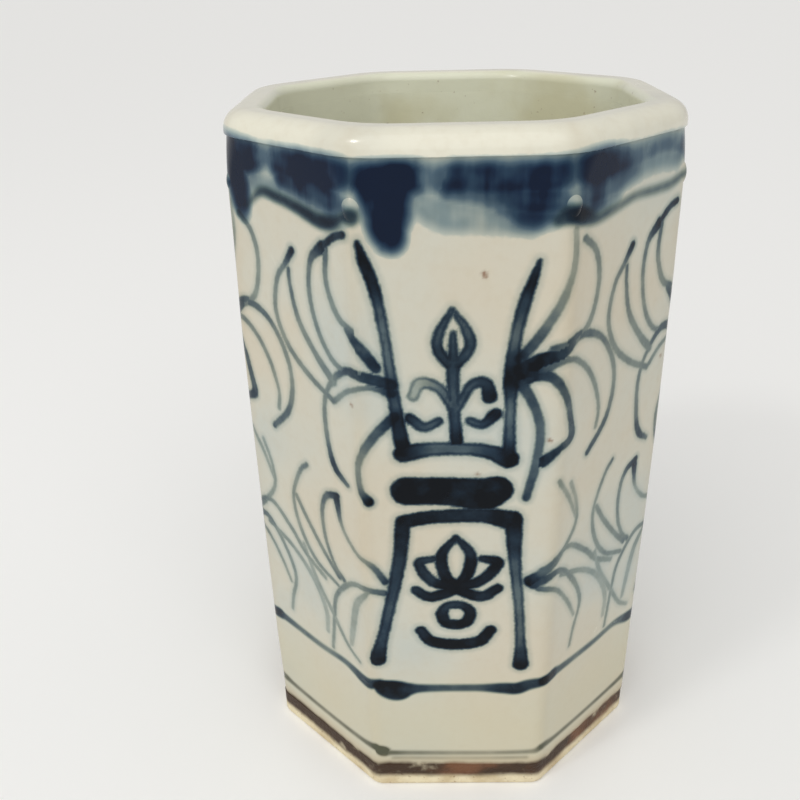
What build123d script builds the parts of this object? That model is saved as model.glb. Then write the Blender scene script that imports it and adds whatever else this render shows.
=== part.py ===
from build123d import *
import math
import os

os.makedirs("parts", exist_ok=True)

# Eight-sided brush pot of glazed stoneware, built from flat slabs of clay. Millimetres, Z up.
# It stands on Z = 0, centred on the Z axis, with its painted front panel facing -Y.
# Four main panels face the X and Y axes, and four diagonal panels stand between them.
# Panels and ridges are counted anticlockwise, seen from above: ridge 1 is the front panel's right edge.

# Driving dimensions: the whole pot
height = 122.4            # table to the top of the lip
flats = 70.4              # across two opposite main panels at the table
flare = 1.2               # how much wider the pot is across the flats where the lip starts
main_panel = 30.6         # width of a main panel at the table, from ridge to ridge
wall = 5.6                # thickness of the wall slabs
ridge_round = 3.0         # rounding of the eight outer ridges

# Lip: a thick roll laid on the wall slabs
lip_height = 3.8          # lower edge of the lip to its top
lip_overhang = 0.7        # how far the lip stands out from the wall below it
lip_corner_round = 11.0   # rounding of the lip's outer corners, seen from above
lip_bore_round = 13.0     # rounding of the mouth's corners, which covers the corner seam coils
lip_outer_roll = 3.0      # rounding of its outer upper edge
lip_inner_roll = 1.3      # rounding of its inner upper edge
lip_under_roll = 0.5      # rounding of its outer lower edge

# Foot: an unglazed ring under the walls, with a shallow recess inside it
foot_height = 5.2         # table to the lower edge of the wall slabs
foot_width = 8.4          # outer face of the foot to the recess
foot_bevel = 0.6          # bevel where the foot meets the table

# Floor and the coils of soft clay pressed into the joints
floor_thickness = 6.0
seam = 3.2                # leg of each coil along the walls and the floor
seam_edge = 0.4           # thickness left at the upper edge of the floor coil

# Sprigs: a small bud of clay on each ridge, just below the lip
sprig_height = 6.0        # lower end to the point
sprig_radius = 1.9        # at its widest
sprig_relief = 0.6        # how far it stands out from the ridge
sprig_drop = 4.4          # lip's lower edge to the sprig's point

panel_names = ["front", "front_right", "right", "rear_right", "rear", "rear_left", "left", "front_left"]
half_turn = math.radians(22.5)      # half of the turn from one panel to the next
wall_top = height - lip_height
wall_slope = math.degrees(math.atan(flare / 2 / wall_top))
floor_top = foot_height + floor_thickness


def spread_at(level):
    """How much further out than at the table the wall stands at this level."""
    return flare / 2 * level / wall_top


def ridge(index, step_out):
    """Corner after panel `index`, on the outline at the table moved out by `step_out`."""
    flat = flats / 2 + step_out
    half_panel = main_panel / 2 + step_out * math.tan(half_turn)
    quarter, second = divmod(index, 2)
    corner = Vector(flat, -half_panel) if second else Vector(half_panel, -flat)
    return corner.rotate(Axis.Z, 90 * quarter)


def outward(index):
    """Level direction out of the pot along the mitre after panel `index`."""
    return Vector(math.sin(half_turn), -math.cos(half_turn)).rotate(Axis.Z, 45 * index)


def outline(step_out):
    """Eight-sided outline with sharp corners."""
    return make_face(Polyline(*[ridge(index, step_out) for index in range(8)], close=True))


def rounded(face, radius):
    """The outline with all eight corners rounded."""
    return fillet(face.vertices(), radius)


def column(face, bottom, top, slope=0.0):
    """Upright solid on an outline, spreading by `slope` degrees as it rises."""
    return Pos(0, 0, bottom) * extrude(face, top - bottom, taper=-slope)


def single(shape):
    """The one solid that a boolean result must be."""
    solids = shape.solids()
    assert len(solids) == 1
    return solids[0]


def outer_body():
    """The whole outside below the lip, with rounded ridges and the bevel at the table."""
    body = column(rounded(outline(0), ridge_round), 0, wall_top, wall_slope)
    bottom_edges = body.faces().sort_by(Axis.Z)[0].edges()
    return chamfer(bottom_edges, foot_bevel)


def inner_body():
    """The space between the wall slabs, with sharp corners, from the foot to the lip."""
    return column(outline(spread_at(foot_height) - wall), foot_height, wall_top, wall_slope)


def mitre_wedge(index):
    """Upright block between the mitres on both sides of panel `index`."""
    start, end = ridge((index - 1) % 8, 0), ridge(index, 0)
    start_way, end_way = outward(index - 1) * wall, outward(index) * wall
    corners = [start + start_way, end + end_way, end - end_way * 2, start - start_way * 2]
    return column(make_face(Polyline(*corners, close=True)), foot_height, wall_top)


def make_walls():
    """Eight slabs with mitred upright edges, standing on the foot."""
    shell = outer_body() - inner_body()
    return {f"wall_{name}": single(shell & mitre_wedge(index)) for index, name in enumerate(panel_names)}


def make_foot_ring():
    """Bare clay ring under the walls, flush with them outside."""
    up_to_walls = column(outline(wall), 0, foot_height)
    recess = column(outline(-foot_width), 0, foot_height)
    return single((outer_body() & up_to_walls) - recess)


def make_floor():
    """Slab that closes the bottom inside the walls, resting on the foot."""
    return single(inner_body() & column(outline(0), foot_height, floor_top))


def cavity_outline(level):
    """Plan of the space inside at one level, with the upright seam coils in its corners."""
    corner_cut = seam / (2 * math.cos(half_turn))
    return chamfer(outline(spread_at(level) - wall).vertices(), corner_cut)


def make_seam_coils():
    """A coil pressed into each inner corner, smoothed flat, from the floor to the lip."""
    space = inner_body() & column(outline(wall), floor_top, wall_top)
    coils = space - column(cavity_outline(floor_top), floor_top, wall_top, wall_slope)
    nodes = {}
    for index in range(8):
        corner = ridge(index, -wall)
        nearest = coils.solids().sort_by_distance(Vertex(corner.X, corner.Y, height / 2))[0]
        nodes[f"corner_seam_coil_{index + 1}"] = nearest
    return nodes


def make_floor_coil():
    """A coil pressed into the joint of the floor and the walls, all round."""
    upper = floor_top + seam
    block = column(cavity_outline(floor_top), floor_top, upper, wall_slope)
    hollow = offset(cavity_outline(floor_top), -(seam + seam_edge), kind=Kind.INTERSECTION)
    return single(block - column(hollow, floor_top, upper, 45))


def make_lip():
    """Rolled lip, laid on the walls and overhanging them outside."""
    step_out = spread_at(wall_top)
    ring = column(rounded(outline(step_out + lip_overhang), lip_corner_round), wall_top, height)
    ring -= column(rounded(outline(step_out - wall), lip_bore_round), wall_top, height)
    underside = ring.faces().sort_by(Axis.Z)[0]
    under_edges = underside.outer_wire().edges()
    ring = fillet(under_edges, lip_under_roll)
    crown = ring.faces().sort_by(Axis.Z)[-1]
    ring = fillet(crown.inner_wires()[0].edges(), lip_inner_roll)
    crown = ring.faces().sort_by(Axis.Z)[-1]
    ring = fillet(crown.outer_wire().edges(), lip_outer_roll)
    return single(ring)


def make_sprigs():
    """A pointed bud on each ridge: round below, drawn up to a point."""
    point_level = wall_top - sprig_drop
    belly_level = point_level - sprig_height + sprig_radius
    lower_end = (0, point_level - sprig_height)
    belly = (sprig_radius, belly_level)
    point = (0, point_level)
    lower = JernArc(lower_end, (1, 0), sprig_radius, 90)
    upper = Spline(belly, point, tangents=[(0, 1), (-0.5, 1)])
    profile = make_face(Plane.XZ * (lower + upper + Line(point, lower_end)))
    bud = revolve(profile, Axis.Z)
    ridge_depth = ridge_round * (1 / math.cos(half_turn) - 1)
    body = outer_body()
    nodes = {}
    for index in range(8):
        on_ridge = ridge(index, spread_at(belly_level))
        centre = on_ridge - outward(index) * (ridge_depth + sprig_radius - sprig_relief)
        nodes[f"sprig_{index + 1}"] = single(Pos(centre.X, centre.Y, 0) * bud - body)
    return nodes


nodes = {"foot_ring": make_foot_ring(), "floor_slab": make_floor(), "lip": make_lip()}
nodes["floor_seam_coil"] = make_floor_coil()
nodes.update(make_walls())
nodes.update(make_seam_coils())
nodes.update(make_sprigs())

for name, solid in nodes.items():
    export_step(solid, f"parts/{name}.step")
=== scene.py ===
"""Looks of an eight-sided, slab-built brush pot: cobalt painting under a glossy, off-white glaze."""
import math

import bpy
import numpy as np
from mathutils import Matrix, Vector


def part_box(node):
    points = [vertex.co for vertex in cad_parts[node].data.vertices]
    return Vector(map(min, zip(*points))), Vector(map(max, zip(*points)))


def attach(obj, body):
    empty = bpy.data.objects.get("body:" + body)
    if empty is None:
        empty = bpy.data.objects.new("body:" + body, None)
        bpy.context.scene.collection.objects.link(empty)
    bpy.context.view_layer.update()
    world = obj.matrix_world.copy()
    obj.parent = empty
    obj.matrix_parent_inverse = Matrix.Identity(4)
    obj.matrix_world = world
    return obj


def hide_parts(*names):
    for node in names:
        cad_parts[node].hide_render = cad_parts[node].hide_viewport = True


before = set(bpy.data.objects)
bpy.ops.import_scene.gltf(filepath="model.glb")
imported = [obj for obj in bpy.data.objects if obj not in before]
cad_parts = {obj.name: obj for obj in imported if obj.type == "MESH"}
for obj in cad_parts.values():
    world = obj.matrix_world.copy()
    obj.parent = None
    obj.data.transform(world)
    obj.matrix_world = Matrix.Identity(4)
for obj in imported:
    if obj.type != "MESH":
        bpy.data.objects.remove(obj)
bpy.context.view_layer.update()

MM = 0.001
HALF_TURN = math.radians(22.5)              # half of the turn from one panel to the next
TURN = 2 * HALF_TURN
ROOT_HALF = math.sqrt(0.5)
CREASE = math.radians(35)                   # edges sharper than this stay sharp
STRAIGHT = 0.8                              # share of a panel's columns on its flat part, not its ridges
APART = 10.0                                # distance between copies before they are bent into place
SWAY_SCALE = 36.0                           # waves in a metre of the outer faces' unevenness
LEFT_INSIDE = 0.02                          # share of a ridge's rounding left on the walls' inner edges
PANELS = ["front", "front_right", "right", "rear_right", "rear", "rear_left", "left", "front_left"]

# Sizes that the clay pieces share, in metres, from the frame
lip_low, lip_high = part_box("lip")[0].z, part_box("lip")[1].z
lip_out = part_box("lip")[1].x
foot_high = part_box("foot_ring")[1].z
floor_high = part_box("floor_slab")[1].z
flat_at_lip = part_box("wall_right")[1].x
flat_at_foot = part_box("foot_ring")[1].x
wall = flat_at_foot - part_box("wall_right")[0].x
flare = (flat_at_lip - flat_at_foot) / (lip_low - foot_high)
flat_at_table = flat_at_foot - flare * foot_high

# Sizes of the clay work, in metres
main_half = 15.3 * MM                       # half of a main panel's width at the table
ridge_round = 3.0 * MM                      # rounding of the outer ridges
lip_corner_round = 11.0 * MM
mouth_round = 13.0 * MM
seam_round = 8.0 * MM                       # rounding of the inner corners by their seam coils
seam_leg = 3.2 * MM                         # leg of the floor's seam coil
unevenness = 0.28 * MM                      # how far the outer faces sway in and out
foot_width = 8.4 * MM
bud_low, bud_high = 109.4 * MM, 113.8 * MM  # ends of the bud on each ridge
ridge_fade = 9 * MM                         # below the lip, the ridges widen over this height to meet it
bow_rise, bow_fall = 2.46 * MM, 2.16 * MM   # slope and curve of the outer faces' bow


def swell(level):
    """How far the outside of the walls bows out at a level: most a little above the middle."""
    share = (level - foot_high) / (lip_low - foot_high)
    return share * bow_rise - share * share * bow_fall


def ridge_rounding(level, ridge, top_ridge):
    """Rounding of the outer ridges at a level, which widens under the lip to that of the lip's corners."""
    share = ((level - lip_low) / ridge_fade + 1.0).math("MAXIMUM", 0.0)
    return ridge + share * share * (top_ridge - ridge)


def add_object(name, data):
    """A new object, linked to the scene."""
    made = bpy.data.objects.new(name, data)
    bpy.context.scene.collection.objects.link(made)
    return made


def vertex_places(mesh):
    """The places of a mesh's vertices, one row each."""
    places = np.empty(len(mesh.vertices) * 3)
    mesh.vertices.foreach_get("co", places)
    return places.reshape(-1, 3)


def outline(spread):
    """Distance of the main faces from the axis, and half their width, for an outline grown by `spread`."""
    return spread + flat_at_table, spread * math.tan(HALF_TURN) + main_half


# ---------------------------------------------------------------- node trees

class Value:
    """A number in a node tree. Arithmetic on it adds Math nodes to the tree."""

    def __init__(self, tree, socket):
        self.tree = tree
        self.socket = socket

    def math(self, operation, *others):
        node = self.tree.nodes.new("ShaderNodeMath")
        node.operation = operation
        for slot, item in zip(node.inputs, (self, *others)):
            feed(self.tree, item, slot)
        return Value(self.tree, node.outputs[0])

    def __add__(self, other):
        return self.math("ADD", other)

    def __sub__(self, other):
        return self.math("SUBTRACT", other)

    def __rsub__(self, other):
        return (self * -1.0) + other

    def __mul__(self, other):
        return self.math("MULTIPLY", other)

    def __truediv__(self, other):
        return self.math("DIVIDE", other)

    __radd__ = __add__
    __rmul__ = __mul__

    def clamp(self):
        held = self + 0.0
        held.socket.node.use_clamp = True
        return held


def feed(tree, item, slot):
    """Gives a node's input a Value, a socket or a constant."""
    if isinstance(item, Value):
        tree.links.new(item.socket, slot)
    elif isinstance(item, bpy.types.NodeSocket):
        tree.links.new(item, slot)
    else:
        slot.default_value = item


def add_node(tree, kind, inputs=None, **settings):
    """Adds a node, with its settings and its inputs by name or number."""
    node = tree.nodes.new(kind)
    for name, setting in settings.items():
        setattr(node, name, setting)
    for key, item in (inputs or {}).items():
        feed(tree, item, node.inputs[key])
    return node


SOCKETS = {"float": "NodeSocketFloat", "int": "NodeSocketInt", "material": "NodeSocketMaterial",
           "object": "NodeSocketObject"}


class Tree:
    """A geometry node tree with named inputs, one geometry output and shorthand for its nodes."""

    def __init__(self, name, **inputs):
        self.tree = bpy.data.node_groups.new(name, "GeometryNodeTree")
        self.names = {}
        for label, kind in inputs.items():
            socket = self.tree.interface.new_socket(name=self.shown(label), in_out="INPUT",
                                                    socket_type=SOCKETS[kind])
            self.names[label] = socket.identifier
        self.tree.interface.new_socket(name="Geometry", in_out="OUTPUT", socket_type="NodeSocketGeometry")
        self.source = self.tree.nodes.new("NodeGroupInput")

    @staticmethod
    def shown(label):
        return label.replace("_", " ").capitalize()

    def take(self, label):
        """The group input of that name, as a Value."""
        return Value(self.tree, self.source.outputs[self.shown(label)])

    def add(self, kind, inputs=None, **settings):
        """Adds a node and gives its first output."""
        return add_node(self.tree, kind, inputs, **settings).outputs[0]

    def level(self, share):
        """The height at that share of the way from the input `low` to the input `high`."""
        return self.take("low") + share * (self.take("high") - self.take("low"))

    def block(self):
        """A block one unit wide, with the columns and rows that the inputs ask for."""
        return self.add("GeometryNodeMeshCube", {"Size": (1.0, 1.0, 1.0), "Vertices X": self.take("columns"),
                                                 "Vertices Y": 2, "Vertices Z": self.take("rows")})

    def eight(self, shape):
        """Eight copies of a shape in a row, which copy each point is on, and its place on it."""
        line = self.add("GeometryNodeMeshLine",
                        {"Count": 8, "Start Location": (0.0, 0.0, 0.0), "Offset": (APART, 0.0, 0.0)},
                        mode="OFFSET", count_mode="TOTAL")
        copies = self.add("GeometryNodeInstanceOnPoints", {"Points": line, "Instance": shape})
        real = self.add("GeometryNodeRealizeInstances", {"Geometry": copies})
        x, depth, rise = self.place()
        corner = (x / APART).math("ROUND")
        return real, corner, x - corner * APART, depth, rise

    def mark(self, geometry, name, value):
        """Keeps a number on each point, and gives the geometry and the number as it is read back."""
        marked = self.add("GeometryNodeStoreNamedAttribute",
                          {"Geometry": geometry, "Name": name, "Value": value},
                          data_type="FLOAT", domain="POINT")
        read = self.add("GeometryNodeInputNamedAttribute", {"Name": name}, data_type="FLOAT")
        return marked, Value(self.tree, read)

    def place(self):
        """The three coordinates of each point."""
        split = add_node(self.tree, "ShaderNodeSeparateXYZ", {0: self.add("GeometryNodeInputPosition")})
        return [Value(self.tree, socket) for socket in split.outputs]

    def move(self, geometry, x, y, z):
        """Puts each point at x, y, z."""
        there = self.add("ShaderNodeCombineXYZ", {0: x, 1: y, 2: z})
        return self.add("GeometryNodeSetPosition", {"Geometry": geometry, "Position": there})

    def sway(self, geometry, share, amount):
        """Moves points in and out by smooth hand-made unevenness; `share` is where it applies."""
        here = self.add("GeometryNodeInputPosition")
        noise = self.add("ShaderNodeTexNoise", {"Vector": here, "Scale": SWAY_SCALE, "Detail": 1.0})
        wave = (Value(self.tree, noise) - 0.5) * 2.0 * amount * share
        x, y, _ = self.place()
        radius = (x * x + y * y).math("SQRT") + 1e-6
        step = self.add("ShaderNodeCombineXYZ", {0: x / radius * wave, 1: y / radius * wave, 2: 0.0})
        return self.add("GeometryNodeSetPosition", {"Geometry": geometry, "Offset": step})

    def end(self, geometry, inner=None):
        """Shades the faces smooth between creases, and ends the tree in Realize Instances and Set Material.

        Faces in the selection `inner` take the inside material.
        """
        geometry = self.add("GeometryNodeMergeByDistance", {"Geometry": geometry, "Distance": 1e-6})
        angle = self.add("GeometryNodeInputMeshEdgeAngle")
        flat_enough = self.add("FunctionNodeCompare", {0: angle, 1: CREASE}, data_type="FLOAT",
                               operation="LESS_THAN")
        for domain, smooth in (("FACE", True), ("EDGE", flat_enough)):
            geometry = self.add("GeometryNodeSetShadeSmooth", {"Geometry": geometry, "Shade Smooth": smooth},
                                domain=domain)
        geometry = self.add("GeometryNodeRealizeInstances", {"Geometry": geometry})
        geometry = self.add("GeometryNodeSetMaterial",
                            {"Geometry": geometry, "Material": self.take("material")})
        if inner is not None:
            geometry = self.add("GeometryNodeSetMaterial", {"Geometry": geometry, "Selection": inner,
                                                            "Material": self.take("inside_material")})
        self.tree.links.new(geometry, self.tree.nodes.new("NodeGroupOutput").inputs[0])
        return self

    def make(self, name, **values):
        """Runs the tree with these input values and returns the result as a plain mesh object."""
        base = add_object(name + "_base", bpy.data.meshes.new(name + "_base"))
        modifier = base.modifiers.new(name, "NODES")
        modifier.node_group = self.tree
        for label, value in values.items():
            modifier[self.names[label]] = value
        bpy.context.view_layer.update()
        evaluated = base.evaluated_get(bpy.context.evaluated_depsgraph_get())
        mesh = bpy.data.meshes.new_from_object(evaluated)
        bpy.data.objects.remove(base)
        mesh.name = name
        return add_object(name, mesh)


def panel_sizes(panel, spread):
    """Half a panel's width and its distance from the axis, for an outline grown by `spread`."""
    flat, main = outline(spread)
    diagonal = panel.math("MODULO", 2.0)
    half = main + diagonal * ((flat - main) * ROOT_HALF - main)
    away = flat + diagonal * ((flat + main) * ROOT_HALF - flat)
    return half, away


def turned(x, y, panels):
    """A place turned round the axis, by that many panels from the front."""
    angle = panels * TURN
    cosine, sine = angle.math("COSINE"), angle.math("SINE")
    return x * cosine - y * sine, x * sine + y * cosine


def octagon_point(panel, across, step_out, rounding, level):
    """Place on a rounded eight-sided outline.

    `panel` counts from the front; `across` runs from -1 at its left mitre to 1 at its right mitre;
    `step_out` moves the outline out from the outer wall face; `rounding` rounds its corners.
    """
    half, away = panel_sizes(panel, level * flare + step_out)
    straight = half - rounding * math.tan(HALF_TURN)
    share = across.math("ABSOLUTE")
    turn = ((share - STRAIGHT) / (1 - STRAIGHT)).math("MAXIMUM", 0.0) * HALF_TURN
    run = (share / STRAIGHT).math("MINIMUM", 1.0) * straight
    x = (run + rounding * turn.math("SINE")) * across.math("SIGN")
    y = (away - rounding * (1.0 - turn.math("COSINE"))) * -1.0
    return turned(x, y, panel)


def wall_tree():
    """One wall slab: a closed block bent to the outline, dense outside, with mitred upright edges."""
    t = Tree("wall slab", panel="float", columns="int", rows="int", low="float", high="float",
             thickness="float", ridge="float", top_ridge="float", unevenness="float",
             inside_material="material", material="material")
    block = t.block()
    across, depth, rise = t.place()
    inward = depth + 0.5
    level = t.level(rise + 0.5)
    rounding = ridge_rounding(level, t.take("ridge"), t.take("top_ridge")) * (1.0 + LEFT_INSIDE - inward)
    step_out = (1.0 - inward) * swell(level) - inward * t.take("thickness")
    x, y = octagon_point(t.take("panel"), across * 2.0, step_out, rounding, level)
    marked, share = t.mark(block, "outside", 1.0 - inward)
    swayed = t.sway(t.move(marked, x, y, level), share, t.take("unevenness"))
    a_quarter = 0.25                        # less than this on the outer side is the inner face
    inner = t.add("FunctionNodeCompare", {0: share, 1: a_quarter}, data_type="FLOAT", operation="LESS_THAN")
    return t.end(swayed, inner)


def ring_tree():
    """A closed ring that carries a section round the eight-sided outline.

    The section is a closed curve: its X is the step out from the outer wall face, its Z the level.
    """
    t = Tree("ring on the outline", section="object", columns="int", rows="int", outer_round="float",
             inner_round="float", inner_step="float", sway_from="float", sway_over="float",
             unevenness="float", material="material")
    around = t.take("columns") * 8.0 + 1.0
    grid = t.add("GeometryNodeMeshGrid", {"Size X": 8.0, "Size Y": 1.0, "Vertices X": around,
                                          "Vertices Y": t.take("rows")})
    u, v, _ = t.place()
    curve = add_node(t.tree, "GeometryNodeObjectInfo", {"Object": t.take("section")},
                     transform_space="ORIGINAL")
    sample = add_node(t.tree, "GeometryNodeSampleCurve",
                      {"Curves": curve.outputs["Geometry"], "Factor": v + 0.5},
                      mode="FACTOR", data_type="FLOAT")
    split = add_node(t.tree, "ShaderNodeSeparateXYZ", {0: sample.outputs["Position"]})
    step, level = Value(t.tree, split.outputs[0]), Value(t.tree, split.outputs[2])
    short_of_eight = 7.999                  # keeps the ring's last column on its last panel
    panel = (u + 4.0).math("MINIMUM", short_of_eight).math("FLOOR")
    across = (u + 4.0 - panel) * 2.0 - 1.0
    depth = (step / t.take("inner_step")).clamp()
    rounding = t.take("outer_round") + depth * (t.take("inner_round") - t.take("outer_round"))
    x, y = octagon_point(panel, across, step, rounding, level)
    marked, share = t.mark(grid, "outside", 1.0 - depth)
    bent = t.move(marked, x, y, level)
    _, _, z = t.place()
    above = ((z - t.take("sway_from")) / t.take("sway_over")).clamp()
    return t.end(t.sway(bent, above.math("MAXIMUM", share), t.take("unevenness")))


def coil_tree():
    """The eight coils pressed into the inner corners: closed pieces with a hollow, rounded face."""
    t = Tree("corner seam coils", columns="int", rows="int", low="float", high="float",
             thickness="float", rounding="float", mouth_rounding="float", material="material")
    real, corner, place, depth, rise = t.eight(t.block())
    across = place * 2.0
    level = t.level(rise + 0.5)
    sixths = 6.0                            # over the top sixth, the rounding widens to the mouth's
    to_mouth = ((rise + 0.5) * sixths - (sixths - 1.0)).math("MAXIMUM", 0.0)
    rounding = t.take("rounding") + to_mouth * (t.take("mouth_rounding") - t.take("rounding"))
    inner_step = t.take("thickness") * -1.0
    after = across.math("GREATER_THAN", 0.0)
    panel = corner + after
    share = across.math("ABSOLUTE")
    side = (share * (1 - STRAIGHT) - 1.0) * (after * 2.0 - 1.0)
    face_x, face_y = octagon_point(panel, side, inner_step, rounding, level)
    half, away = panel_sizes(panel, level * flare + inner_step)
    run = rounding * math.tan(HALF_TURN) * share
    sharp_x, sharp_y = turned((half - run) * (1.0 - after * 2.0), away * -1.0, panel)
    back = depth + 0.5
    return t.end(t.move(real, face_x + (sharp_x - face_x) * back, face_y + (sharp_y - face_y) * back, level))


def bud_tree():
    """A bud of clay pressed onto each ridge: broad above, drawn in below, low enough to follow the ridge."""
    t = Tree("ridge buds", segments="int", rings="int", low="float", high="float", half_width="float",
             thickness="float", relief="float", ridge="float", top_ridge="float", material="material")
    ball = t.add("GeometryNodeMeshUVSphere", {"Segments": t.take("segments"), "Rings": t.take("rings"),
                                              "Radius": 1.0})
    real, corner, place, depth, rise = t.eight(ball)
    across = place * (1.0 + 0.25 * rise) * t.take("half_width")
    level = t.level((rise + 1.0) * 0.5)
    fall = ((across * across + MM * MM).math("SQRT") - MM) * math.tan(HALF_TURN)
    out = t.take("relief") - (1.0 + depth) * t.take("thickness") - fall
    rounding = ridge_rounding(level, t.take("ridge"), t.take("top_ridge"))
    crest_x, crest_y = octagon_point(corner, corner * 0.0 + 1.0, swell(level), rounding, level)
    bud_x, bud_y = turned(across, out * -1.0, corner + 0.5)
    return t.end(t.move(real, crest_x + bud_x, crest_y + bud_y, level))


def section(name, corners):
    """A closed curve in the X-Z plane through corners (step out, level, rounding), for the ring tree."""
    places = []
    count = len(corners)
    for index, (x, z, rounding) in enumerate(corners):
        here = Vector((x, z))
        before = (Vector(corners[index - 1][:2]) - here).normalized()
        after = (Vector(corners[(index + 1) % count][:2]) - here).normalized()
        half_angle = before.angle(after) / 2
        if rounding == 0:
            places.append(here)
            continue
        tangent = rounding / math.tan(half_angle)
        centre = here + (before + after).normalized() * rounding / math.sin(half_angle)
        start, end = here + before * tangent - centre, here + after * tangent - centre
        for share in np.linspace(0, 1, 13):
            places.append(centre + start.lerp(end, float(share)).normalized() * rounding)
    curve = bpy.data.curves.new(name, "CURVE")
    curve.dimensions = "3D"
    spline = curve.splines.new("POLY")
    spline.points.add(len(places) - 1)
    for point, place in zip(spline.points, places):
        point.co = (place.x, 0.0, place.y, 1.0)
    spline.use_cyclic_u = True
    return add_object(name, curve)


def face_outwards(piece):
    """Turns the faces of a closed mesh outwards, if they point inwards."""
    mesh = piece.data
    mesh.calc_loop_triangles()
    triangles = np.empty(len(mesh.loop_triangles) * 3, int)
    mesh.loop_triangles.foreach_get("vertices", triangles)
    a, b, c = np.moveaxis(vertex_places(mesh)[triangles.reshape(-1, 3)], 1, 0)
    if np.einsum("ij,ij->i", a, np.cross(b, c)).sum() < 0:
        mesh.flip_normals()


def settle(piece, nodes):
    """Lets a finished piece stand for its CAD nodes and ride with the pot."""
    face_outwards(piece)
    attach(piece, "root")
    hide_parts(*nodes)
    return piece


# ---------------------------------------------------------------- brush painting, in millimetres

# A place on the painting is (s, z): s runs along the outside from the middle of a main panel,
# positive to its right as it is faced, and z is the height above the table.
MAIN, DIAGONAL = 30.8, 28.6                 # widths of the panels in the painting's own measure
EMBLEM_STEP = MAIN + DIAGONAL               # from one emblem to the next
REACH = 2.0                                 # the gap is kept up to this far from a stroke
PAINT_DEPTH = 2.5                           # places deeper in the clay than this aren't painted
FAR_OFF = 1e6
RIDGE_WEAR = 1.7                            # how far from a ridge its thin glaze reaches


def smooth_path(points, per_span=7):
    """Points of a smooth line through the given ones: place, half width and tone all blend."""
    points = np.array(points, float)
    if len(points) == 2:
        return points[0] + (points[1] - points[0]) * np.linspace(0, 1, per_span + 1)[:, None]
    ends = np.vstack([2 * points[0] - points[1], points, 2 * points[-1] - points[-2]])
    t = np.linspace(0, 1, per_span, endpoint=False)[:, None]
    spans = []
    for p0, p1, p2, p3 in zip(ends, ends[1:], ends[2:], ends[3:]):
        spans.append(0.5 * (2 * p1 + (p2 - p0) * t + (2 * p0 - 5 * p1 + 4 * p2 - p3) * t ** 2
                            + (3 * p1 - 3 * p2 + p3 - p0) * t ** 3))
    return np.vstack([*spans, points[-1:]])


def inside_stroke(points, s, z, reach):
    """Which places are within reach of a stroke, how far inside it they are, and its tone there."""
    path = smooth_path(points)
    margin = path[:, 2].max() + reach
    low, high = path[:, :2].min(0) - margin, path[:, :2].max(0) + margin
    near = np.flatnonzero((s > low[0]) & (s < high[0]) & (z > low[1]) & (z < high[1]))
    place = np.stack([s[near], z[near]], 1)
    best = np.full(len(near), -reach)
    tone = np.zeros(len(near))
    for start, end in zip(path, path[1:]):
        along = end[:2] - start[:2]
        share = np.clip((place - start[:2]) @ along / max(along @ along, 1e-9), 0, 1)
        gap = np.linalg.norm(place - start[:2] - share[:, None] * along, axis=1)
        inside = start[2] + share * (end[2] - start[2]) - gap
        better = inside > best
        best[better] = inside[better]
        tone[better] = (start[3] + share * (end[3] - start[3]))[better]
    return near, best, tone


# Emblem of a main panel: a bud between two flared leaves, on a dark stand with splayed legs,
# and an open blossom between the legs. Each point is (s, z, half width, tone).
FLARED_LEAVES = [
    [(-14.4, 107, .4, 1), (-13.5, 104, .8, 1), (-12.2, 100, .85, .9), (-11, 93, .75, .7),
     (-10.1, 85, .85, .75), (-9.4, 79, 1, .9), (-8.7, 74.2, 1.2, 1)],
    [(10.8, 104, .25, .9), (9.9, 101, .7, .95), (8.7, 97, .9, .85), (7.8, 92, .9, .75), (7.4, 86, 1.15, 1),
     (7.4, 80, .8, .7), (7.4, 71.8, 1.1, 1)],
]
BUD = [
    [(-1.3, 97, .35, .8), (-3.1, 93.5, .75, .8), (-3.3, 90.6, .8, .85), (-1.2, 87.6, .8, .9)],
    [(-1.3, 97, .35, .8), (0.8, 93.6, .75, .8), (1.2, 90.8, .8, .85), (-1.2, 87.6, .8, .9)],
    [(-1.2, 93.2, .5, .75), (-1.1, 88.4, .9, .9)],
    [(-1.2, 88.5, 1, .85), (-1, 82, .85, .8), (-0.5, 75, .95, .95)],
    [(-0.9, 80, .6, .8), (-3, 84.2, .8, .7), (-5.9, 85.3, 1, .5), (-7, 83.2, .9, .45)],
    [(-0.9, 80, .6, .8), (1.4, 84.6, .8, .8), (3.6, 85.2, .9, .9), (4.3, 82.9, 1.1, 1)],
    [(-7.6, 79.4, .8, .9), (-5.4, 77.8, .8, .85), (-3.3, 78.8, .7, .8)],
    [(5.2, 79.9, 1, 1), (3.4, 78.2, .75, .85), (1.4, 78.8, .7, .8)],
]
STAND = [
    [(-8.7, 73.2, 1.5, 1), (-4.6, 73.9, 1.2, .8), (0, 73.9, 1.1, .75), (4.2, 73.4, 1.2, .85),
     (7.4, 72, 1.6, 1)],
    [(-8.3, 66.4, 2.5, 1), (-2, 66.2, 2.5, 1), (3.6, 65.6, 2.9, 1), (5.8, 66.3, 2.5, 1)],
    [(-9, 60.6, 1.2, 1), (-4, 61.5, 1.2, .95), (3.6, 61.6, 1.3, .95), (8.2, 60.6, 1.8, 1)],
    [(-9, 60.6, 1.2, 1), (-9.7, 53, 1.1, .9), (-11.4, 44, .95, .82), (-13.1, 36, .95, .86),
     (-14.1, 31.6, 1.45, 1)],
    [(8.6, 60.4, 1.4, 1), (9.1, 52, 1, .82), (10, 44, .85, .7), (10.6, 36, .85, .76), (10.9, 30.3, 1.35, 1)],
]
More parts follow.
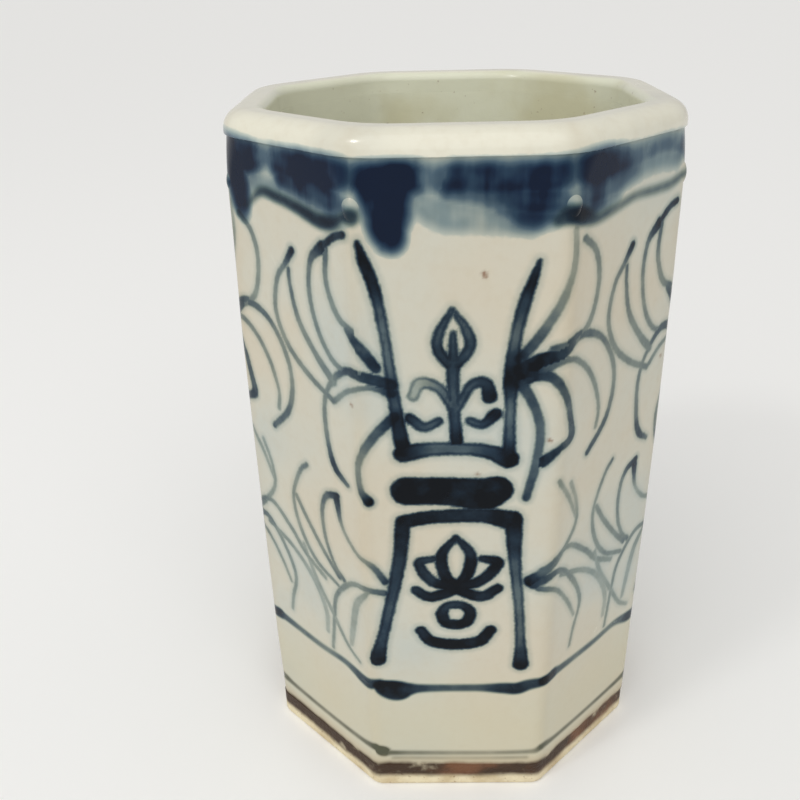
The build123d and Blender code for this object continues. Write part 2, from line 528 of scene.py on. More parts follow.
BLOSSOM = [
    [(-.5, 57.6, .4, .95), (-2.9, 53.8, .9, .95), (-2.2, 49.6, 1, 1), (-.5, 47.6, 1, 1)],
    [(-.5, 57.6, .4, .95), (1.9, 53.8, .9, .95), (1.2, 49.6, 1, 1), (-.5, 47.6, 1, 1)],
    [(-.5, 47.4, 1, 1), (-4.4, 48.6, .95, .95), (-6.6, 52.4, .8, .9), (-4.2, 53.2, .6, .85)],
    [(-.5, 47.4, 1, 1), (3.6, 48.6, .95, .95), (6.3, 52.2, 1, 1), (3.6, 53.2, .6, .9)],
    [(-.5, 46.9, 1, 1), (-4.6, 45.3, 1, .95), (-7.2, 46.8, .8, .9)],
    [(-.5, 46.9, 1, 1), (3.7, 45.3, 1, .95), (6.4, 47, .9, .95)],
    [(-2.9, 41.6, 1, .95), (-1.9, 39.6, 1, 1), (.9, 39.5, 1, 1), (2, 41.7, .95, .95), (.7, 43.4, .8, .9),
     (-1.8, 43.4, .8, .9), (-2.9, 41.6, 1, .95)],
    [(-6.4, 38, .9, .9), (-4.6, 35.6, 1.1, 1), (-.5, 34.8, 1.15, 1), (3.6, 35.6, 1.1, 1), (5.4, 38, 1, 1)],
]

# Sprays of thin leaves that spread from both sides of an emblem over the ridges.
RIGHT_LEAVES = [
    [(8.6, 87.2, 1.1, .95), (11.2, 88.4, 1.3, .95), (14, 89.4, 1.1, .8), (18, 91.9, .75, .6),
     (23.4, 90.2, .5, .5), (27.2, 85.4, .5, .42), (28.4, 80, .5, .4), (26.8, 74.6, .55, .55),
     (22.4, 70.2, .5, .6)],
    [(9.6, 85.6, .9, .85), (15.2, 88.6, .5, .5), (19.4, 86.8, .45, .42), (22.8, 82.6, .45, .38),
     (24.6, 77.6, .4, .35), (24.2, 74.2, .4, .35)],
    [(9.2, 86.4, 1.2, .95), (13.2, 86, .8, .7), (15.8, 82.6, .6, .6), (17.2, 78.2, .6, .6),
     (17.6, 75, .8, .65), (15.2, 73.6, .6, .7), (12.6, 71.4, .9, .95)],
    [(8.6, 85.2, .9, .8), (10.4, 82.4, .7, .65), (12, 77.4, .65, .6), (11.6, 71, .65, .6),
     (10.4, 64.8, .6, .75)],
    [(8.6, 89, .8, .85), (11.4, 92.8, .7, .6), (14.2, 97.8, .6, .42), (16, 103.4, .55, .32),
     (15.8, 108.2, .5, .26)],
    [(13.4, 90.4, .7, .6), (18.6, 92, .6, .45), (21, 94.8, .5, .36), (22, 100, .5, .36),
     (20.8, 104.2, .5, .42), (18, 106.6, .5, .5)],
    [(12, 48.4, 1.3, .95), (14, 50.2, .7, .6), (17.2, 52.8, .5, .4), (20.6, 57.2, .4, .35),
     (20.4, 61.8, .4, .3), (18.6, 66.2, .4, .3)],
    [(13.6, 50.4, .7, .6), (18.8, 53.6, .5, .4), (24.2, 50.2, .5, .38), (28.2, 46.2, .5, .36),
     (33.2, 43.4, .45, .34)],
    [(12.4, 47.6, .9, .8), (17, 49.6, .55, .5), (21.4, 45.4, .5, .4), (24.2, 39.4, .45, .36),
     (22.8, 33.8, .4, .34), (22, 30.2, .35, .3)],
    [(13.2, 46.8, .6, .6), (16.6, 45.8, .4, .4), (20.2, 41.4, .4, .34), (22.6, 37, .35, .3)],
    [(17.8, 48.4, .5, .4), (24.8, 45.6, .5, .32), (30, 41, .6, .26), (32.6, 35.6, .6, .24),
     (32.6, 31, .5, .22)],
    [(15.6, 67.6, .4, .35), (18.4, 63.4, .4, .3), (20.6, 58.8, .35, .28)],
]
LEFT_LEAVES = [
    [(-17.2, 93.8, .45, .5), (-14.8, 91.2, .8, .72), (-12.4, 87.8, .75, .8)],
    [(-10.4, 85, 1, .85), (-14.6, 86.4, .8, .75), (-18, 86.6, .6, .6), (-21.6, 83.2, .45, .45),
     (-23.2, 79, .45, .42), (-22.8, 72.6, .5, .5), (-21.4, 68.4, .6, .75), (-18.6, 66.2, .4, .5)],
    [(-10.2, 83.6, .7, .8), (-13.6, 84.6, .4, .5), (-17.4, 83.4, .4, .4), (-20.6, 80.8, .45, .42)],
    [(-9.9, 79.6, .8, .85), (-13.4, 75.8, .7, .6), (-15.8, 71.2, .6, .4), (-15.6, 66.6, .6, .5),
     (-14.3, 64.4, .8, .95)],
    [(-21, 80.6, .5, .45), (-26.6, 83.4, .5, .42), (-31.4, 87.4, .5, .4), (-33.8, 92.6, .45, .38),
     (-32.8, 98, .45, .42), (-30.6, 100.8, .45, .55), (-28.7, 103.3, .6, .9)],
    [(-20.8, 84, .8, .42), (-24.6, 87.6, .6, .4), (-28.2, 92.4, .5, .42), (-29.6, 97.4, .4, .5),
     (-29.8, 100.2, .35, .6)],
    [(-14.8, 86.8, .5, .5), (-19.6, 87, .45, .42), (-23.2, 91, .45, .42), (-25, 97, .45, .42),
     (-24.4, 102.6, .5, .55), (-21.6, 105.2, .9, .9)],
    [(-16, 93.6, .5, .5), (-19, 95.4, .55, .4), (-21, 100, .5, .42), (-20.8, 105, .5, .6)],
    [(-21.4, 105.4, .5, .8), (-18.9, 107.2, .5, .85), (-16.9, 107.9, .5, .9)],
    [(-12.2, 48.6, .6, .8), (-14.4, 52, .5, .45), (-17.6, 53.8, .4, .34), (-20.6, 57.4, .4, .36),
     (-21.6, 62.2, .75, .85)],
    [(-21, 46, .5, .5), (-23.2, 48.2, .4, .4), (-25.2, 53, .4, .4), (-25.6, 58.4, .45, .45),
     (-24.2, 61.8, .55, .6), (-21.4, 63, .6, .85)],
    [(-22.2, 46, .5, .5), (-25.6, 49.4, .45, .4), (-29.8, 54.4, .45, .38), (-32.6, 58.4, .45, .36)],
    [(-22.8, 44, .4, .4), (-28.4, 46.6, .45, .38), (-32.2, 52, .45, .36), (-33.4, 58, .4, .36),
     (-31, 63.8, .4, .4), (-28.9, 66, .4, .5)],
    [(-12.4, 46.2, .6, .6), (-16.4, 46.8, .5, .4), (-19.6, 45.8, .5, .4), (-23.4, 41.4, .45, .42),
     (-24.6, 35.4, .4, .36), (-25.6, 28.2, .4, .34)],
    [(-15.2, 46.2, .4, .36), (-18, 42.4, .7, .3), (-19.4, 36.6, .7, .26), (-20.2, 32.2, .5, .24)],
    [(-31.6, 48.4, .45, .3), (-29, 42.6, .5, .28), (-25, 36.8, .5, .3), (-21.4, 31.6, .4, .34),
     (-18.2, 29.2, .35, .3)],
]

# Blue line low on the pot, for a main panel and for the diagonal panel to its right.
LOW_LINE = [
    [(-14.2, 25.6, 1, .8), (-12.8, 24.7, 1.9, .95), (-10.9, 24.1, 2.3, 1), (-9, 24.4, 1.5, .9),
     (-6, 24.6, .9, .72), (3, 24.7, .8, .66), (8, 24.6, 1.2, .9), (10.4, 24.5, 1.3, .95),
     (12.6, 25.4, 1.2, .8), (15.4, 26.1, 1, .8)],
    [(15.4, 26.1, 1.1, .85), (17.6, 26.5, 1.2, .85), (20, 26.4, .85, .62), (30, 26, .7, .52),
     (37, 26.3, .75, .56), (42.4, 25.1, 1.2, .8), (45.4, 25.6, 1, .75)],
]
OLIVE_LINE = [
    [(-15.2, 9.5, .8, .8), (-13.9, 8.8, 1.3, 1), (-12, 8.4, .65, .7), (0, 8.3, .55, .5), (13, 8.5, .55, .56),
     (16.2, 9.3, .9, .8), (20, 8.9, .65, .72), (30, 8.7, .6, .66), (40, 8.9, .65, .72), (44, 9.4, .9, .8)],
    [(-12, 7, .45, .42), (0, 6.9, .4, .36), (13, 7, .45, .42)],
]
RUST_DOTS = [
    [(3.1, 102.3, .32, .9), (3.3, 101.8, .3, .8)],
    [(-16.9, 81.4, .2, .7), (-16.6, 81.2, .2, .7)],
    [(2.6, 69.4, .25, .6), (2.9, 69.2, .2, .6)],
    [(13.4, 75.3, .25, .9), (13.8, 75.1, .2, .8)],
]

# Wash of thin cobalt under the lip, as wide, soft strokes.
WASH = [
    [(-15.4, 116.2, 1.9, .78), (-12, 115.8, 2.4, 1.2), (-7, 115.8, 2.4, 1.15), (-5, 115.9, 2.2, .74),
     (-2.6, 115.9, 2.2, .7), (-1, 115.7, 2.4, .95), (6, 115.6, 2.4, 1.05), (12.2, 115.8, 2.4, 1),
     (15.2, 116.4, 2.2, .76)],
    [(-12.6, 114.4, 1.8, 1.2), (-11.4, 111.6, 2.1, 1.25), (-10.4, 109, 2.3, 1.15), (-9.8, 107.4, 2, 1)],
    [(-8.9, 115, 2.2, 1.2), (-8.9, 111.4, 2, 1.15), (-9.2, 109, 1.5, .9)],
    [(-2, 113.8, 1.2, .6), (2, 113.4, 1.6, .68), (6, 113, 2, .74), (9.6, 112.5, 2.2, .92),
     (12.8, 112.4, 1.9, .95), (14.6, 112.2, 1.1, .8)],
    [(5.4, 111.2, 1.4, .5), (9.2, 110, 1.7, .76), (12.2, 110.2, 1.4, .78)],
    [(-6, 112.6, 1.8, .42), (-2.6, 110.8, 2.4, .36), (2, 110.2, 2.2, .36), (6, 109.6, 1.8, .4),
     (9.4, 108.6, 1.1, .4)],
]
WASH_LIGHTER = [
    [(15.4, 116.4, 2.2, .8), (19.4, 116.3, 2.6, 1.12), (23.4, 116.3, 2.4, 1.05), (28, 116.3, 2, .76),
     (33, 116.7, 1.7, .6), (38, 116.9, 1.6, .56), (44, 116.4, 1.9, .8)],
    [(15.6, 113.4, 1.6, .6), (19.4, 113.2, 2.6, .82), (24, 113.6, 2.2, .68), (29, 114.2, 1.8, .5),
     (35, 114.6, 1.6, .36), (41, 114.2, 1.6, .42)],
    [(15, 110.8, 1.3, .7), (20.4, 110.8, 1.6, .68), (25, 111.4, 1.2, .42)],
]
WASH_DARKER = [
    [(15, 116.8, 2.3, 1.1), (19, 116, 2.8, 1.25), (22.6, 116, 2.4, 1.1), (25.6, 116.4, 1.9, .74),
     (29, 116, 2.3, .95), (34, 115.6, 2.7, 1.15), (39, 115.6, 2.7, 1.05), (42.6, 115.8, 2.3, .9)],
    [(16, 114.4, 2.6, 1.2), (18.2, 111.6, 2.9, 1.2), (18.8, 108.6, 2.2, 1.05), (19.2, 107, 1.3, .8)],
    [(29.6, 113.6, 1.8, .84), (34.4, 113.2, 2.1, .95), (38.6, 112.4, 2.2, .95), (41.6, 111.8, 1.6, .84),
     (43.8, 111.2, 1.3, .7)],
    [(22.6, 112.4, 1.8, .42), (27, 111.8, 1.8, .36), (32, 111, 1.7, .4), (37, 109.8, 1.8, .5),
     (41, 109.8, 1.4, .6), (43.6, 110.2, 1.2, .6)],
]
EDGE_LIGHTER = [
    [(13.2, 109.6, .8, .6), (15.2, 110.4, 1.4, .85), (18, 109.6, 1.2, .76), (20.4, 108.9, .8, .6),
     (24, 109.4, .8, .5), (30, 110.4, .7, .5), (36, 110.4, .75, .5), (40, 110.6, .8, .56),
     (44, 111.8, .6, .5)],
]
EDGE_DARKER = [
    [(20.4, 108.2, .5, .4), (24.2, 110.9, .7, .66), (28, 110.6, .8, .76), (32, 109.9, .85, .78),
     (35.6, 109, 1, .8), (38.4, 108.6, 1.1, .8), (40.8, 109, .9, .7), (42.4, 109.9, .7, .6),
     (44.2, 110.2, 1.2, .66)],
]


def painting_places(piece):
    """Each vertex's place along the outside, its level, its depth under the surface and its ridge gap."""
    x, y, z = vertex_places(piece.data).T
    flat, main = outline(flare * z + swell(z))
    diagonal_half, diagonal_flat = (flat - main) * ROOT_HALF, (flat + main) * ROOT_HALF
    found = []
    for first, half, away, width in ((0, main, flat, MAIN), (1, diagonal_half, diagonal_flat, DIAGONAL)):
        panel = np.round((np.arctan2(x, -y) / TURN - first) / 2) * 2 + first
        across = (x * np.cos(panel * TURN) + y * np.sin(panel * TURN)) / half
        depth = away - x * np.sin(panel * TURN) + y * np.cos(panel * TURN)
        along = panel * EMBLEM_STEP / 2 + across * width / 2
        found.append((along, depth / MM, (1 - abs(across)) * half / MM))
    on_main = found[0][1] < found[1][1]
    along, depth, gap = (np.where(on_main, a, b) for a, b in zip(*found))
    return along, z / MM, depth, gap


def emblem_places(places):
    """The painting places as each of the four emblems sees them, each painted a little differently."""
    along, level, depth, _ = places
    whole_turn = 4 * EMBLEM_STEP
    for emblem in range(4):
        s = (along - emblem * EMBLEM_STEP + whole_turn / 2) % whole_turn - whole_turn / 2
        shifted = s + 0.35 * math.sin(2.1 * emblem)
        yield np.where(depth < PAINT_DEPTH, shifted, FAR_OFF), level + 0.4 * math.sin(1.7 * emblem)


def store(piece, name, values):
    attribute = piece.data.attributes.new(name, "FLOAT", "POINT")
    attribute.data.foreach_set("value", values.astype(np.float32))


def lay(piece, name, strokes, places):
    """Sharp brushwork: stores 1 at a stroke's edge, less outside and more inside, and its tone."""
    inside, tone = np.full(len(places[0]), -REACH), np.zeros(len(places[0]))
    for s, z in emblem_places(places):
        for points in strokes:
            near, best, best_tone = inside_stroke(points, s, z, REACH)
            won = best > inside[near]
            inside[near[won]] = best[won]
            tone[near[won]] = best_tone[won]
    store(piece, name, 1 + inside / REACH)
    store(piece, name + "_tone", tone)


def soak(piece, name, strokes, places, softness, turns=([], []), washed=1.0):
    """Soft brushwork: stores how much colour has soaked in, fading over `softness` at the edges.

    The strokes in `turns` are those of every other emblem: the even ones', then the odd ones'.
    """
    amount = np.zeros(len(places[0]))
    for emblem, (s, z) in enumerate(emblem_places(places)):
        for points in strokes + turns[emblem % 2]:
            near, best, tone = inside_stroke(points, s, z, softness)
            share = np.clip(best / softness / 2 + 0.5, 0, 1)
            more = tone * share * share * (3 - 2 * share)
            amount[near] = np.maximum(amount[near], more) + 0.3 * np.minimum(amount[near], more)
    store(piece, name, amount * washed)


def fully_washed(level):
    return 1.0


def paint(piece, washed=fully_washed):
    """All brushwork on a piece, and how near each place is to a ridge and to the inner face.

    `washed` gives the share of the wash that the piece takes at a level.
    """
    places = painting_places(piece)
    lay(piece, "thick", FLARED_LEAVES + BUD + STAND + BLOSSOM, places)
    lay(piece, "thin", RIGHT_LEAVES + LEFT_LEAVES, places)
    soak(piece, "line", LOW_LINE, places, 0.45)
    soak(piece, "edge", [], places, 0.8, (EDGE_LIGHTER, EDGE_DARKER))
    soak(piece, "wash", WASH, places, 1.5, (WASH_LIGHTER, WASH_DARKER), washed(places[1]))
    soak(piece, "olive", OLIVE_LINE, places, 0.45)
    soak(piece, "rust", RUST_DOTS, places, 0.25)
    store(piece, "ridge", np.exp(-(places[3] / RIDGE_WEAR) ** 2))
    store(piece, "inward", places[2] * MM / wall)


# ---------------------------------------------------------------- glazes and clay

def colour(red, green, blue):
    """A colour given as a screen shows it, 0 to 255, in the units that the shaders take."""
    return (*(((part / 255 + 0.055) / 1.055) ** 2.4 for part in (red, green, blue)), 1.0)


GLAZE = colour(200, 198, 184)
GLAZE_WARM = colour(202, 195, 177)
GLAZE_COOL = colour(190, 194, 186)
# Glaze of the lip, painted lighter than the walls' glaze: painted light on the lip's top-facing roll
LIP_GLAZE_PAINTED_LIGHT = colour(224, 221, 204)
THIN_GLAZE = colour(186, 169, 138)
POOLED_GLAZE = colour(200, 193, 164)
INSIDE_GLAZE = colour(220, 221, 200)
INSIDE_DEEP = colour(196, 190, 154)
CLAY = colour(230, 218, 186)
CLAY_DARK = colour(204, 186, 150)
IRON = colour(62, 44, 30)
IRON_RED = colour(122, 82, 56)
OLIVE = colour(82, 84, 68)

# What cobalt leaves of the glaze's own colour as the layer gets thicker: brushed lines, then the wetter wash
BRUSHED = [(0.0, (1.0, 1.0, 1.0)), (0.15, (0.72, 0.78, 0.80)), (0.35, (0.38, 0.46, 0.48)),
           (0.55, (0.14, 0.205, 0.27)), (0.75, (0.030, 0.064, 0.120)), (0.9, (0.008, 0.022, 0.050)),
           (1.0, (0.001, 0.004, 0.011))]
WASHED = [(0.0, (1.0, 1.0, 1.0)), (0.15, (0.70, 0.79, 0.84)), (0.35, (0.33, 0.45, 0.55)),
          (0.55, (0.115, 0.20, 0.32)), (0.75, (0.032, 0.080, 0.170)), (0.9, (0.010, 0.034, 0.100)),
          (1.0, (0.003, 0.014, 0.055))]


class Finish:
    """A material: one Principled shader, and shorthand for the nodes that feed it."""

    def __init__(self, name, **constants):
        self.material = bpy.data.materials.new(name)
        self.material.use_nodes = True
        self.tree = self.material.node_tree
        self.shader = self.tree.nodes["Principled BSDF"]
        for label, value in constants.items():
            self.shader.inputs[label.replace("_", " ").title().replace("Ior", "IOR")].default_value = value
        self.place = self.tree.nodes.new("ShaderNodeTexCoord").outputs["Object"]

    def attribute(self, name):
        node = add_node(self.tree, "ShaderNodeAttribute", attribute_type="GEOMETRY", attribute_name=name)
        return Value(self.tree, node.outputs["Fac"])

    def noise(self, size, detail=3.0, stretch=(1.0, 1.0, 1.0)):
        """Smooth noise, 0 to 1, with features about `size` metres across."""
        place = add_node(self.tree, "ShaderNodeMapping", {"Vector": self.place, "Scale": stretch}).outputs[0]
        node = add_node(self.tree, "ShaderNodeTexNoise",
                        {"Vector": place, "Scale": 1 / size, "Detail": detail})
        return Value(self.tree, node.outputs[0])

    def height(self):
        return Value(self.tree, add_node(self.tree, "ShaderNodeSeparateXYZ", {0: self.place}).outputs[2])

    def between(self, value, low, high):
        """0 up to `low` and 1 from `high`, smooth between; the other way round if `low` is the higher."""
        node = add_node(self.tree, "ShaderNodeMapRange", {0: value, 1: low, 2: high},
                        interpolation_type="SMOOTHSTEP")
        return Value(self.tree, node.outputs[0])

    def blend(self, share, first, second, mode="MIX"):
        node = add_node(self.tree, "ShaderNodeMix", data_type="RGBA", blend_type=mode)
        for index, item in ((0, share), (6, first), (7, second)):
            feed(self.tree, item, node.inputs[index])
        return node.outputs[2]

    def steps(self, value, steps):
        """A colour that goes through steps as the value rises."""
        ramp = add_node(self.tree, "ShaderNodeValToRGB", {0: value})
        elements = ramp.color_ramp.elements
        elements[1].position = steps[-1][0]
        for position, _ in steps[1:-1]:
            elements.new(position)
        for element, (_, shade) in zip(elements, steps):
            element.color = (*shade, 1.0)
        return ramp.outputs[0]

    def finish(self, base, roughness, relief, depth):
        """Connects the colour, the roughness and a relief that is `depth` metres deep."""
        bump = add_node(self.tree, "ShaderNodeBump", {"Height": relief, "Distance": depth, "Strength": 1.0})
        feed(self.tree, base, self.shader.inputs["Base Color"])
        feed(self.tree, roughness, self.shader.inputs["Roughness"])
        feed(self.tree, bump.outputs[0], self.shader.inputs["Normal"])
        return self.material


def mottled(f, cool, plain, warm):
    """A glaze colour that drifts between cool and warm over the pot."""
    drift = f.noise(0.030, 2.0)
    base = f.blend(f.between(drift, 0.30, 0.52), cool, plain)
    base = f.blend(f.between(drift + f.noise(0.011, 2.0) * 0.3, 0.60, 0.85), base, warm)
    return f.blend(f.between(f.noise(0.0016, 4.0), 0.42, 0.75) * 0.10, base, THIN_GLAZE)


def ragged_level(f):
    """The height, wandering by half a millimetre as a hand-wiped edge does."""
    return f.height() + (f.noise(0.0040, 4.0) - 0.5) * 1.2 * MM + (f.noise(0.018, 2.0) - 0.5) * MM


def iron_wash(f):
    """Iron-brown slip, dark where it is thick, redder and paler in patches where the clay shows through."""
    iron = f.blend(f.between(f.noise(0.0110, 4.0), 0.50, 0.70) * 0.8, IRON, IRON_RED)
    return f.blend(f.between(f.noise(0.0040, 4.0), 0.58, 0.82) * 0.6, iron, CLAY)


def cobalt(f, base):
    """The cobalt and iron brushwork on a glaze colour, and how thick the brushed cobalt is."""
    bleed = (f.noise(0.0007, 3.0) - 0.5) * 0.20 + (f.noise(0.0026, 2.0) - 0.5) * 0.14
    near_thick, near_thin = f.attribute("thick") + bleed, f.attribute("thin") + bleed * 0.7
    thick = f.between(near_thick, 0.80, 1.14) * 0.86 + f.between(near_thick, 0.30, 0.95) * 0.14
    tone = f.attribute("thick_tone")
    middle = f.between(near_thick, 1.10, 1.36) * (1.0 - tone) * 0.8
    thick = thick * (tone * (0.80 + 0.42 * f.noise(0.0032, 3.0))).clamp() * (1.0 - middle).clamp()
    thin = f.between(near_thin, 0.82, 1.12) * 0.78 + f.between(near_thin, 0.40, 0.95) * 0.22
    thin = thin * (f.attribute("thin_tone") * (0.72 + 0.62 * f.noise(0.003, 3.0))).clamp()
    line = ((f.attribute("line") + f.attribute("edge")) * (0.70 + 0.6 * f.noise(0.004, 3.0))).clamp()
    brushed = (1.0 - (1.0 - thick) * (1.0 - thin) * (1.0 - line)).clamp()
    streak = f.noise(0.0024, 2.5, (1.0, 1.0, 0.16))
    pool = f.noise(0.0060, 2.5, (1.0, 1.0, 0.7))
    uneven = f.between(streak * 0.3 + pool * 0.7, 0.36, 0.62)
    wash = f.attribute("wash") * (1.0 - f.attribute("ridge") * 0.30) * (0.68 + 0.34 * uneven)
    wash = f.between(wash + (f.noise(0.0013, 3.0) - 0.5) * 0.16, 0.06, 0.16) * wash
    olive = (f.attribute("olive") * (0.95 + 0.6 * f.noise(0.004, 3.0))).clamp()
    base = f.blend(olive, base, OLIVE)
    base = f.blend(1.0, base, f.steps(brushed, BRUSHED), "MULTIPLY")
    base = f.blend(1.0, base, f.steps(wash.clamp(), WASHED), "MULTIPLY")
    return f.blend(f.attribute("rust"), base, IRON_RED), brushed


def inside_colour(f):
    """Thinner, yellower glaze, darker and yellower towards the floor and in patches."""
    deep = f.between(f.height(), lip_low, floor_high) * 0.4
    patch = f.between(f.noise(0.016, 3.0), 0.40, 0.68) * 0.60
    base = f.blend((deep + patch).clamp(), INSIDE_GLAZE, INSIDE_DEEP)
    return f.blend(f.between(f.noise(0.0011, 2.0), 0.70, 0.78) * 0.5, base, IRON_RED)


def make_painted_glaze(name, cool, plain, warm, gloss, coat):
    """Thick, glossy glaze over the painting: thin and warm along the ridges, wiped off above the foot."""
    f = Finish(name, ior=1.5, specular_ior_level=gloss, coat_weight=coat, coat_roughness=0.08, coat_ior=1.5)
    base = mottled(f, cool, plain, warm)
    base = f.blend(f.between(f.attribute("inward"), 0.80, 0.99), base, inside_colour(f))
    worn = f.attribute("ridge") * (0.35 + 0.5 * f.noise(0.006, 3.0))
    base = f.blend(worn * 0.35, base, THIN_GLAZE)
    level = ragged_level(f)
    base = f.blend(f.between(level, 34 * MM, 14 * MM) * 0.5, base, POOLED_GLAZE)
    base, amount = cobalt(f, base)
    base = f.blend(f.between(level, 8.2 * MM, 5.6 * MM) * 0.55, base, THIN_GLAZE)
    bare = f.between(level, 6.4 * MM, 5.0 * MM)
    base = f.blend(bare, base, iron_wash(f))
    roughness = 0.17 + 0.14 * f.noise(0.007, 3.0) + amount * 0.05 + bare * 0.3
    relief = f.noise(0.0034, 2.0) * 0.5 + f.noise(0.0009, 2.0) * 0.08 + amount * 0.06 + f.noise(0.012, 1.0)
    return f.finish(base, roughness, relief, 0.06 * MM)


def make_inside_glaze(name):
    """The glaze of the inner faces, which runs without a break from the lip down to the floor."""
    f = Finish(name, ior=1.5, specular_ior_level=0.3, coat_weight=0.12, coat_roughness=0.10, coat_ior=1.5)
    roughness = 0.24 + 0.16 * f.noise(0.008, 3.0)
    return f.finish(inside_colour(f), roughness, f.noise(0.0030, 3.0) + f.noise(0.014, 2.0), 0.10 * MM)


def make_bare_clay(name):
    """Bare fired clay with an iron-brown band above it, where the slip was wiped on."""
    f = Finish(name, ior=1.45, specular_ior_level=0.3)
    level = ragged_level(f)
    clay = f.blend(f.between(f.noise(0.0050, 5.0), 0.35, 0.7), CLAY, CLAY_DARK)
    clay = f.blend(f.between(f.noise(0.0006, 3.0), 0.62, 0.74) * 0.6, clay, IRON_RED)
    clay = f.blend(f.between(f.noise(0.0150, 3.0), 0.50, 0.72) * 0.35, clay, IRON_RED)
    band = f.between(level, 1.5 * MM, 3.2 * MM)
    grit = f.noise(0.0005, 4.0) + f.noise(0.0022, 3.0) * 1.4
    return f.finish(f.blend(band, clay, iron_wash(f)), 0.86 - band * 0.36, grit, 0.16 * MM)


painted_glaze = make_painted_glaze("painted_glaze", GLAZE_COOL, GLAZE, GLAZE_WARM, 0.12, 0.06)
# The lip's copy of the glaze: glossier, and painted lighter as painted light on its top-facing roll
lip_glaze = make_painted_glaze("lip_glaze", GLAZE, LIP_GLAZE_PAINTED_LIGHT, LIP_GLAZE_PAINTED_LIGHT, 0.35, 0.30)
inside_glaze = make_inside_glaze("inside_glaze")
bare_clay = make_bare_clay("bare_clay")


# ---------------------------------------------------------------- the clay pieces

def make_walls():
    """The eight painted wall slabs."""
    slab = wall_tree()
    for index, panel in enumerate(PANELS):
        piece = slab.make(f"painted_wall_{panel}", panel=float(index), columns=93, rows=330, low=foot_high,
                          high=lip_low, thickness=wall, ridge=ridge_round, top_ridge=lip_corner_round,
                          unevenness=unevenness, inside_material=inside_glaze, material=painted_glaze)
        paint(piece)
        settle(piece, [f"wall_{panel}"])


def make_ring(ring, name, corners, slot, node, sway=0.0, **values):
    """A ring piece with that section, standing for that CAD node."""
    drawn = section(name + "_section", corners)
    piece = ring.make(name, section=drawn, sway_from=lip_low, sway_over=2 * MM, unevenness=sway, **values)
    bpy.data.objects.remove(drawn)
    return settle(piece, [node])


def make_rings():
    """The rolled lip, the bare foot ring and the coil that seals the floor to the walls."""
    ring = ring_tree()
    overhang = lip_out - flat_at_lip
    # The lip's glaze carries painted light: its colour is painted lighter than the walls'
    lip = make_ring(ring, "rolled_lip",
                    [(-wall, lip_low, 0), (-wall, lip_high, 1.5 * MM), (overhang, lip_high, 3.1 * MM),
                     (overhang, lip_low, 0.15 * MM)],
                    "white_glaze", "lip", sway=unevenness, columns=56, rows=110, outer_round=lip_corner_round,
                    inner_round=mouth_round, inner_step=-wall, material=lip_glaze)
    paint(lip)
    bevel = 0.7 * MM
    make_ring(ring, "bare_foot_ring",
              [(-foot_width, foot_high, 0), (0, foot_high, 0), (0, 0, bevel), (-foot_width, 0, bevel)],
              "bare_clay", "foot_ring", columns=40, rows=120, outer_round=ridge_round,
              inner_round=ridge_round, inner_step=-foot_width, material=bare_clay)
    edge = 0.2 * MM
    make_ring(ring, "glazed_floor_seam",
              [(-wall, floor_high, 0), (-wall, floor_high + seam_leg, 0),
               (-wall - edge, floor_high + seam_leg, 0), (-wall - edge, floor_high + edge, 0.8 * seam_leg),
               (-wall - seam_leg, floor_high + edge, 0), (-wall - seam_leg, floor_high, 0)],
              "inside_glaze", "floor_seam_coil", columns=24, rows=60, outer_round=seam_round,
              inner_round=seam_round, inner_step=-wall, material=inside_glaze)


def make_corner_coils():
    """The eight coils pressed into the inner corners."""
    piece = coil_tree().make("glazed_corner_seams", columns=17, rows=90, low=floor_high, high=lip_low,
                             thickness=wall, rounding=seam_round, mouth_rounding=mouth_round,
                             material=inside_glaze)
    settle(piece, [f"corner_seam_coil_{count + 1}" for count in range(8)])


def make_buds():
    """The bud on each ridge: its top takes half the wash, its lower part all of it."""
    piece = bud_tree().make("ridge_buds", segments=40, rings=28, low=bud_low, high=bud_high,
                            half_width=1.8 * MM, thickness=1.3 * MM, relief=0.36 * MM, ridge=ridge_round,
                            top_ridge=lip_corner_round, material=painted_glaze)
    paint(piece, lambda level: 0.5 + 0.5 * np.clip((112.4 - level) / 0.9, 0, 1))
    settle(piece, [f"sprig_{count + 1}" for count in range(8)])


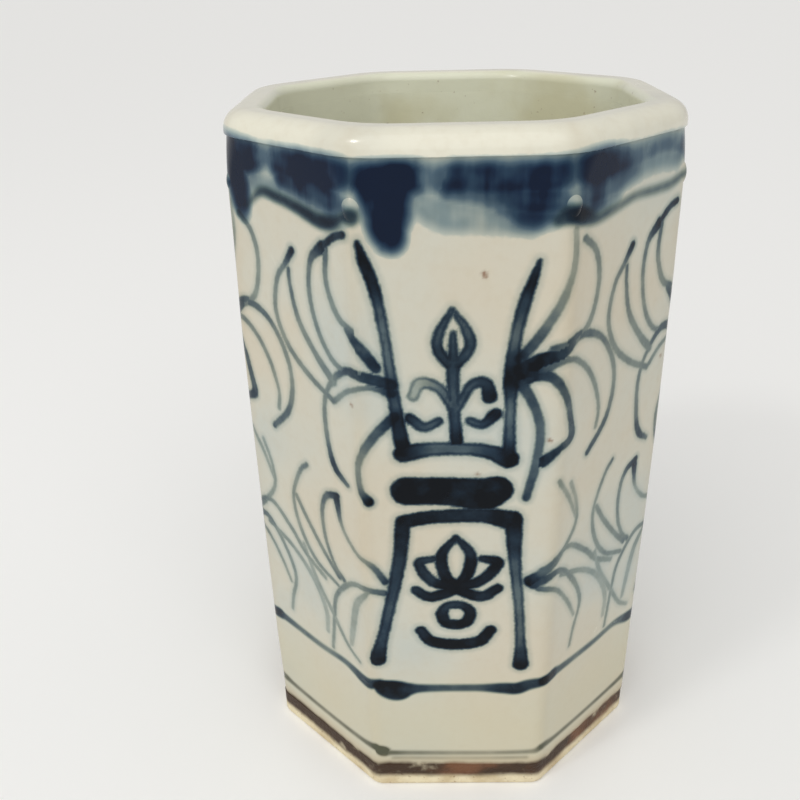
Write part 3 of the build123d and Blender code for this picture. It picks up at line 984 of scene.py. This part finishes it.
make_walls()
make_rings()
make_corner_coils()
make_buds()
floor_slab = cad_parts["floor_slab"]
floor_slab.data.materials.clear()
floor_slab.data.materials.append(inside_glaze)


# ---------------------------------------------------------------- studio and camera

def make_studio():
    """A plain pale floor under an evenly bright sky."""
    size = 12.0
    mesh = bpy.data.meshes.new("studio_floor")
    corners = [(-size, -size, 0), (size, -size, 0), (size, size, 0), (-size, size, 0)]
    mesh.from_pydata(corners, [], [(0, 1, 2, 3)])
    floor = add_object("studio_floor", mesh)
    paper = Finish("studio_paper", roughness=0.9, base_color=(0.94, 0.94, 0.93, 1.0))
    mesh.materials.append(paper.material)
    world = bpy.data.worlds.new("studio_light")
    world.use_nodes = True
    sky = world.node_tree.nodes["Background"]
    sky.inputs[0].default_value = (1.0, 0.99, 0.97, 1.0)
    sky.inputs[1].default_value = 0.58
    bpy.context.scene.world = world


def make_light(name, kind, place, energy, **settings):
    """A soft light that shines on the middle of the pot."""
    light = bpy.data.lights.new(name, kind)
    light.energy = energy
    for label, setting in settings.items():
        setattr(light, label, setting)
    lamp = add_object(name, light)
    lamp.location = place
    lamp.rotation_euler = (Vector((0, 0, lip_high / 2)) - lamp.location).to_track_quat("-Z", "Y").to_euler()


def make_camera():
    """Close to the pot and a little above its lip, looking down at the front panel."""
    heading, pitch, roll = 0.020, 0.4506, -0.0235
    camera = add_object("camera", bpy.data.cameras.new("camera"))
    camera.data.sensor_width = 36.0
    camera.data.lens = 40.9
    camera.data.clip_start = 0.005
    camera.location = Matrix.Rotation(heading, 3, "Z") @ Vector((-9.9 * MM, -160.0 * MM, 142.5 * MM))
    turn = (Matrix.Rotation(heading, 3, "Z") @ Matrix.Rotation(math.pi / 2 - pitch, 3, "X")
            @ Matrix.Rotation(roll, 3, "Z"))
    camera.rotation_euler = turn.to_euler()
    bpy.context.scene.camera = camera


make_studio()
make_light("daylight", "SUN", (-0.12, -0.85, 0.9), 1.15, angle=math.radians(80))
make_light("window", "AREA", (-0.35, -0.30, 0.55), 0.55, shape="DISK", size=0.10)
make_camera()
bpy.context.scene.view_settings.view_transform = "Standard"
